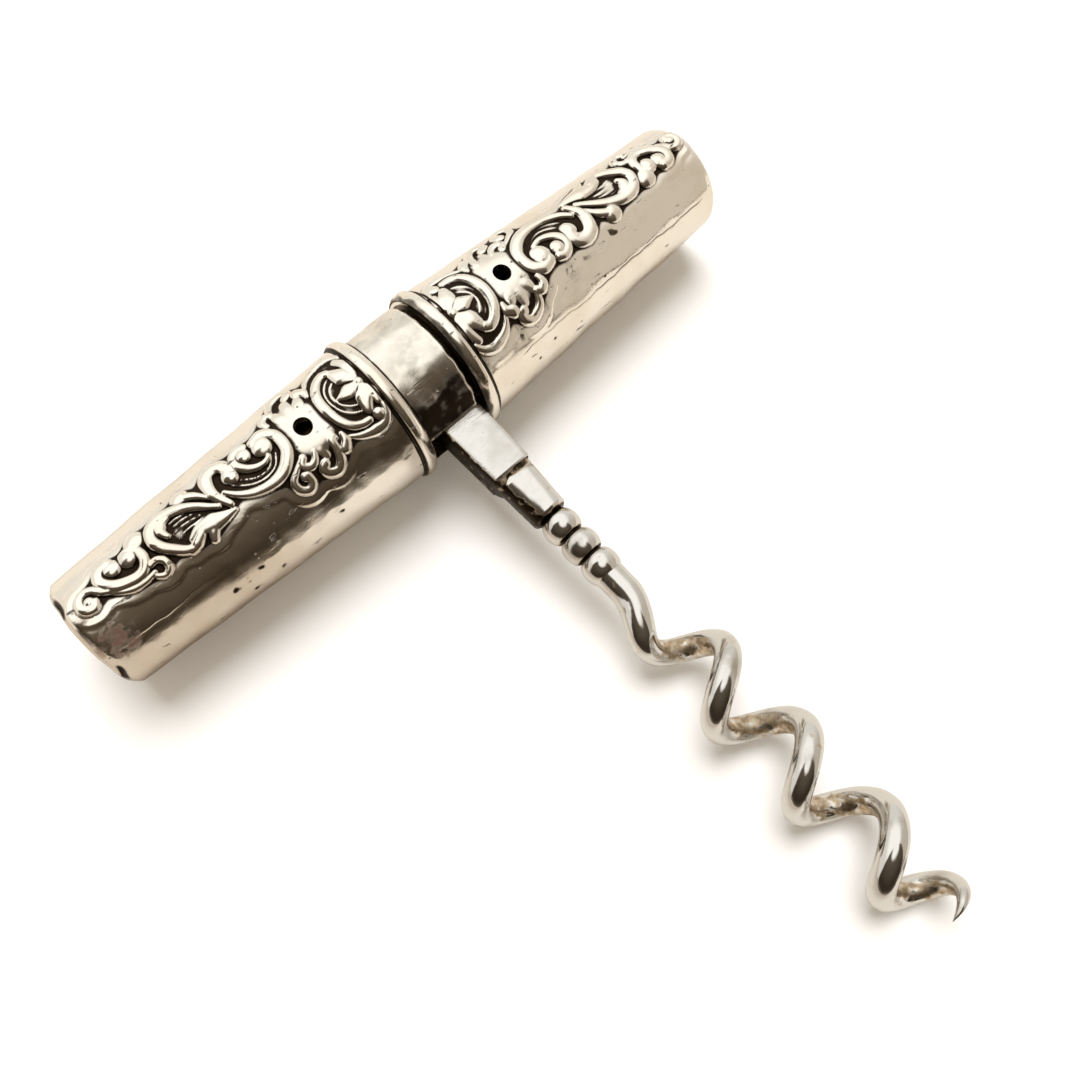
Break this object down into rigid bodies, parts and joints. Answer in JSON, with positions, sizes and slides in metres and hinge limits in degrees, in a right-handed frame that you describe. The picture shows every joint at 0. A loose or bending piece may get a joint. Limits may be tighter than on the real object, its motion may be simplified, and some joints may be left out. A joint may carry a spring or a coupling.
{
  "type": "picnic corkscrew",
  "caption": "Roundlet corkscrew: a cross handle of tapered ornamented cases, with a steel worm that swings out of a slotted neck between them and folds away inside.",
  "frame": {"origin": "the pivot pin, where the handle's axis crosses the worm's axis", "axes": "+X along the handle towards the case that pulls off, -Y along the worm to its point, +Z along the pivot pin, out of the ornamented top"},
  "size_m": [0.0841, 0.0844, 0.0176],
  "materials": {
    "silver": "polished struck silver, darkened in the recesses",
    "brass": "turned, dulled by age",
    "steel": "bright steel with filed flats"
  },
  "bodies": {
    "left_half": {"left_shell": "silver", "left_rim": "silver", "left_end_cap": "silver", "guide_tube": "brass", "neck_sleeve": "brass", "collar": "silver"},
    "plug": {"slide_plug": "brass", "pivot_pin": "steel"},
    "worm": {"worm": "steel"},
    "right_half": {"right_shell": "silver", "right_rim": "silver", "right_end_cap": "silver", "right_liner": "brass"}
  },
  "joints": [
    {"name": "case_pull", "type": "slide", "parent": "left_half", "child": "right_half", "axis": [1, 0, 0], "range_m": [0, 0.088]},
    {"name": "plug_slide", "type": "slide", "parent": "left_half", "child": "plug", "axis": [1, 0, 0], "range_m": [-0.0012, 0]},
    {"name": "worm_swing", "type": "hinge", "parent": "plug", "child": "worm", "pos_m": [0, 0, 0], "axis": [0, 0, 1], "range_deg": [0, 90]}
  ],
  "couplings": [
    {"joint": "worm_swing", "follows": "case_pull", "rad_per_m": 17.849}
  ]
}
